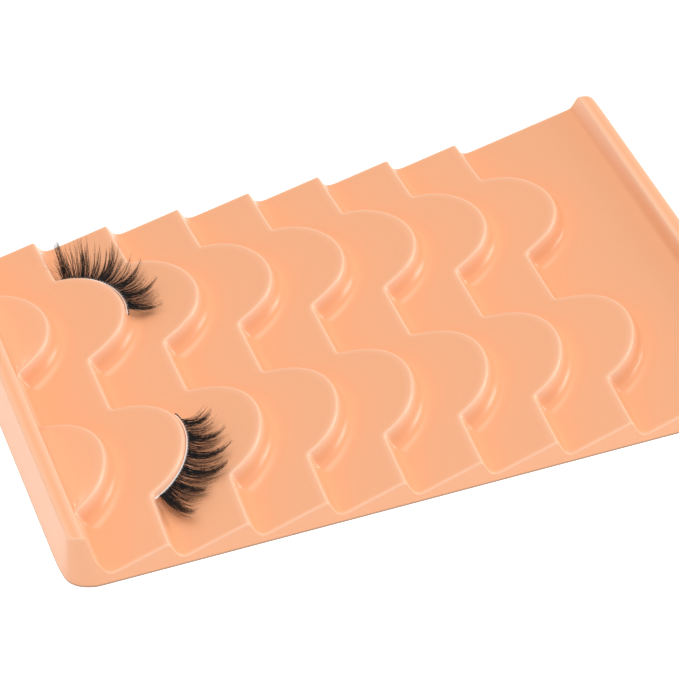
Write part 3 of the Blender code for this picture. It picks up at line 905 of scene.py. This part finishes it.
def hair_tree():
    """Hairs from guide curves that carry their count and their widths."""
    tree = new_tree("lash_hairs", (
        ("Thickness", "NodeSocketFloat", 0.04 * MM),
        ("Tip Thickness", "NodeSocketFloat", 0.01 * MM),
        ("Shortest", "NodeSocketFloat", 0.7),
        ("Waviness", "NodeSocketFloat", 0.2 * MM),
        ("Seed", "NodeSocketInt", 1),
        ("Material", "NodeSocketMaterial", None),
    ))
    w = Weaver(tree)
    given = w.given.outputs
    lines = w.add("GeometryNodeMeshToCurve", {"Mesh": given["Geometry"]})
    copies = w.add("GeometryNodeDuplicateElements", {
        "Geometry": lines.outputs["Curve"], "Amount": w.stored("hairs", "INT")}, domain="SPLINE")
    hair = w.add("GeometryNodeCurveOfPoint").outputs["Curve Index"]
    along = w.add("GeometryNodeSplineParameter").outputs["Factor"]
    seeds = [w.maths("ADD", given["Seed"], float(k)) for k in range(RANDOM_NUMBERS)]
    # The sum of two random numbers, so that most hairs lie near their guide and few far from it
    sideways = w.maths("ADD", w.random(-0.25, 0.25, hair, seeds[0]), w.random(-0.25, 0.25, hair, seeds[5]))
    upwards = w.random(-0.5, 0.5, hair, seeds[1])
    width = w.add("ShaderNodeMix", {"Factor": w.maths("POWER", along, NARROWING)}, data_type="FLOAT")
    width_sockets = [s for s in width.inputs if s.type == "VALUE" and s.name in ("A", "B")]
    tree.links.new(w.stored("root_width"), width_sockets[0])
    tree.links.new(w.stored("tip_width"), width_sockets[1])
    spread = width.outputs[0]
    across = w.stored("across", "FLOAT_VECTOR")
    room = w.maths("ADD", RISE_ROOT, w.maths("MULTIPLY", along, RISE_GAIN))
    rise = w.add("ShaderNodeCombineXYZ", {"Z": w.maths("MULTIPLY", upwards, room)}).outputs[0]
    shift = w.plus(w.scale(across, w.maths("MULTIPLY", sideways, spread)), rise)
    place = w.add("GeometryNodeInputPosition").outputs[0]
    own_noise = w.add("ShaderNodeTexNoise", {
        "Vector": w.scale(place, WAVE_SCALE), "W": w.maths("MULTIPLY", hair, WAVE_STEP),
        "Scale": 1.0, "Detail": 1.0}, noise_dimensions="4D").outputs["Color"]
    centred = w.add("ShaderNodeVectorMath", {0: own_noise, 1: (0.5, 0.5, 0.5)}, operation="SUBTRACT")
    wave = w.scale(centred.outputs["Vector"], w.maths("MULTIPLY", given["Waviness"], along))
    moved = w.add("GeometryNodeSetPosition", {
        "Geometry": copies.outputs["Geometry"], "Offset": w.plus(shift, wave)})
    share = w.random(0.0, 1.0, hair, seeds[2])
    extra = w.maths("MULTIPLY", share, w.maths("SUBTRACT", 1.0, given["Shortest"]))
    longest = w.maths("ADD", given["Shortest"], extra)
    trimmed = w.add("GeometryNodeTrimCurve", {
        "Curve": moved.outputs["Geometry"], "End": longest}, mode="FACTOR")
    marked = w.store(trimmed.outputs["Curve"], "along", along)
    marked = w.store(marked, "tone", w.random(0.0, 1.0, hair, seeds[3]))
    taper = w.maths("POWER", w.maths("SUBTRACT", 1.0, along), TAPER)
    stout = w.maths("MULTIPLY", given["Thickness"], w.random(*STOUTNESS, hair, seeds[4]))
    radius = w.maths("ADD", given["Tip Thickness"], w.maths("MULTIPLY", stout, taper))
    ring = w.add("GeometryNodeCurvePrimitiveCircle", {
        "Resolution": HAIR_SIDES, "Radius": 1.0}, mode="RADIUS")
    skin = w.add("GeometryNodeCurveToMesh", {
        "Curve": marked, "Profile Curve": ring.outputs["Curve"], "Scale": radius, "Fill Caps": True})
    whole = w.add("GeometryNodeRealizeInstances", {"Geometry": skin.outputs["Mesh"]})
    coloured = w.add("GeometryNodeSetMaterial", {
        "Geometry": whole.outputs["Geometry"], "Material": given["Material"]})
    tree.links.new(coloured.outputs["Geometry"], w.result.inputs["Geometry"])
    return tree


HAIR_TREE = hair_tree()
print("hair tree:", len(HAIR_TREE.nodes), "nodes")

# %% [markdown]
# ### The finish of the hair
#
# The hairs are dyed synthetic silk: almost black at the root, dark brown towards the thin tips, with
# a soft gloss along their length. Each hair has its own tone, so that a spike isn't one flat black.


# %% Hair finish
ROOT_COLOUR = (0.006, 0.005, 0.005, 1.0)
TIP_COLOUR = (0.060, 0.028, 0.016, 1.0)
STITCH_COLOUR = (0.26, 0.24, 0.23, 1.0)
BROWN_START = 0.35
TONE_RANGE = (0.6, 1.9)
HAIR_ROUGHNESS = 0.50
HAIR_SHINE = 0.3


def lash_hair():
    """Black hair with brown tips, toned by the numbers stored on it."""
    mat = plain_material("lash_hair", ROOT_COLOUR[:3], HAIR_ROUGHNESS)
    tree = mat.node_tree
    shader = tree.nodes["Principled BSDF"]
    shader.inputs["Specular IOR Level"].default_value = HAIR_SHINE
    along = tree.nodes.new("ShaderNodeAttribute")
    along.attribute_name = "along"
    tone = tree.nodes.new("ShaderNodeAttribute")
    tone.attribute_name = "tone"
    ramp = tree.nodes.new("ShaderNodeValToRGB")
    ramp.color_ramp.elements[0].position = BROWN_START
    ramp.color_ramp.elements[0].color = ROOT_COLOUR
    ramp.color_ramp.elements[1].position = 1.0
    ramp.color_ramp.elements[1].color = TIP_COLOUR
    tree.links.new(along.outputs["Fac"], ramp.inputs["Fac"])
    light = tree.nodes.new("ShaderNodeMapRange")
    light.inputs["To Min"].default_value = TONE_RANGE[0]
    light.inputs["To Max"].default_value = TONE_RANGE[1]
    tree.links.new(tone.outputs["Fac"], light.inputs["Value"])
    toned = tree.nodes.new("ShaderNodeMix")
    toned.data_type = "RGBA"
    toned.blend_type = "MULTIPLY"
    toned.inputs["Factor"].default_value = 1.0
    tree.links.new(ramp.outputs["Color"], toned.inputs["A"])
    tree.links.new(light.outputs["Result"], toned.inputs["B"])
    stitch = tree.nodes.new("ShaderNodeAttribute")
    stitch.attribute_name = "stitch"
    stitched = tree.nodes.new("ShaderNodeMix")
    stitched.data_type = "RGBA"
    stitched.inputs["B"].default_value = STITCH_COLOUR
    tree.links.new(stitch.outputs["Fac"], stitched.inputs["Factor"])
    tree.links.new(toned.outputs["Result"], stitched.inputs["A"])
    tree.links.new(stitched.outputs["Result"], shader.inputs["Base Color"])
    return mat


hair_finish = lash_hair()


# %% Grow the hairs of both strips
def guide_object(name, made):
    """A mesh of open lines that holds the guides, with their numbers on every point."""
    mesh = bpy.data.meshes.new(name)
    points = np.vstack([line for line, *rest in made])
    edges = [(k * GUIDE_POINTS + j, k * GUIDE_POINTS + j + 1)
             for k in range(len(made)) for j in range(GUIDE_POINTS - 1)]
    mesh.from_pydata(points.tolist(), edges, [])
    heads = np.array([line[1] - line[0] for line, *rest in made])
    across = np.column_stack((-heads[:, 1], heads[:, 0], np.zeros(len(heads))))
    across /= np.linalg.norm(across, axis=1)[:, None]
    numbers = (
        ("hairs", "INT", "value", [hairs for line, hairs, root, tip in made]),
        ("root_width", "FLOAT", "value", [root for line, hairs, root, tip in made]),
        ("tip_width", "FLOAT", "value", [tip for line, hairs, root, tip in made]),
        ("across", "FLOAT_VECTOR", "vector", across),
    )
    for label, kind, key, values in numbers:
        spread_out = np.repeat(np.asarray(values), GUIDE_POINTS, axis=0)
        mesh.attributes.new(label, kind, "POINT").data.foreach_set(key, spread_out.ravel())
    return link(name, mesh)


THREAD_START, THREAD_END = -0.015, 1.10
THREAD_POINTS = 90
THREAD_SIDES = 6
THREAD_RADIUS = 0.15 * MM
# One ring of the thread in three is a pale stitch
STITCH_RINGS = 3
KNOT = 0.18
THREAD_TONE = 0.25
BAND_START, BAND_END = -0.055, 1.08
BAND_TOP, BAND_LOW = BAND_DOWN - 0.36 * MM, BAND_DOWN + 0.10 * MM
BAND_OFF, BAND_THICK = 0.22 * MM, 0.10 * MM


def swept(name, rings):
    """A closed mesh skinned over rings of points."""
    count = len(rings[0])
    points = [tuple(point) for ring in rings for point in ring]
    faces = [tuple(range(count))[::-1], tuple((len(rings) - 1) * count + k for k in range(count))]
    for r in range(len(rings) - 1):
        for k in range(count):
            n = (k + 1) % count
            faces.append((r * count + k, r * count + n, (r + 1) * count + n, (r + 1) * count + k))
    mesh = bpy.data.meshes.new(name)
    mesh.from_pydata(points, [], faces)
    return mesh


def thread_mesh(name, upper):
    """The black thread that holds the roots, drawn along the wall."""
    shares = np.linspace(THREAD_START, THREAD_END, THREAD_POINTS)
    knots = 1.0 + KNOT * np.cos(np.arange(THREAD_POINTS) * math.pi)
    ring = []
    for turn in np.linspace(0.0, 2.0 * math.pi, THREAD_SIDES, endpoint=False):
        down = BAND_DOWN + THREAD_RADIUS * math.sin(turn)
        ring.append(beside_wall(shares, upper, down, ROOT_OFF + THREAD_RADIUS * math.cos(turn)))
    rings = np.array(ring).transpose(1, 0, 2)
    middle = rings.mean(axis=1, keepdims=True)
    rings = middle + (rings - middle) * knots[:, None, None]
    mesh = swept(name, rings)
    stitches = np.repeat(np.arange(THREAD_POINTS) % STITCH_RINGS == 0, THREAD_SIDES).astype(float)
    plain = np.ones(len(mesh.vertices))
    for label, values in (("along", 0.0 * plain), ("tone", THREAD_TONE * plain), ("stitch", stitches)):
        mesh.attributes.new(label, "FLOAT", "POINT").data.foreach_set("value", values)
    return mesh


def joined(name, meshes):
    """One mesh of several, with the numbers on their points kept."""
    bm = bmesh.new()
    for mesh in meshes:
        bm.from_mesh(mesh)
    whole = bpy.data.meshes.new(name)
    bm.to_mesh(whole)
    bm.free()
    return whole


HAIR_VALUES = {
    "Thickness": 0.037 * MM,
    "Tip Thickness": 0.006 * MM,
    "Shortest": 0.62,
    "Waviness": 0.7 * MM,
    "Seed": 11,
    "Material": hair_finish,
}
for name, upper in STRIPS:
    source = guide_object(name + "_hairs", guides[name])
    piece = run_tree(source, HAIR_TREE, HAIR_VALUES)
    piece.data = joined(name + "_hairs", (piece.data, thread_mesh(name + "_thread", upper)))
    piece.data.materials.append(hair_finish)
    piece.data.shade_smooth()
    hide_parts(name + "_lashes")
    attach(piece, "root")
    print(name, "hairs:", len(piece.data.polygons), "faces", len(piece.data.vertices), "points")

# %% [markdown]
# ## The clear bands
#
# Each strip is stuck to a thin clear band, which keeps its bend. It lies between the thread and the
# wall, and reaches a little further than the hairs at the outer end. It is glossy and nearly
# colourless, so that mostly its bright edge is seen.

# %% Clear bands
BAND_COLOUR = (1.0, 0.97, 0.95)
BAND_ROUGHNESS = 0.12
BAND_CLEARNESS = 0.12
BAND_IOR = 1.45
# A faint glow stands for the light that a clear edge gathers
BAND_GLOW_COLOUR = (1.0, 0.95, 0.92, 1.0)
BAND_GLOW = 0.18


def clear_band():
    """Glossy clear plastic with a milky body and a faint painted glow."""
    mat = plain_material("clear_band", BAND_COLOUR, BAND_ROUGHNESS)
    shader = mat.node_tree.nodes["Principled BSDF"]
    shader.inputs["Transmission Weight"].default_value = BAND_CLEARNESS
    shader.inputs["IOR"].default_value = BAND_IOR
    shader.inputs["Emission Color"].default_value = BAND_GLOW_COLOUR
    shader.inputs["Emission Strength"].default_value = BAND_GLOW
    return mat


band_finish = clear_band()
for name, upper in STRIPS:
    shares = np.linspace(BAND_START, BAND_END, THREAD_POINTS)
    corners = ((BAND_TOP, BAND_OFF), (BAND_TOP, BAND_OFF + BAND_THICK),
               (BAND_LOW, BAND_OFF + BAND_THICK), (BAND_LOW, BAND_OFF))
    ring = [beside_wall(shares, upper, down, off) for down, off in corners]
    band = link(name + "_clear_band", swept(name + "_clear_band", np.array(ring).transpose(1, 0, 2)))
    band.data.materials.append(band_finish)
    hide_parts(name + "_band")
    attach(band, "root")
print("bands:", len(shares), "sections each")
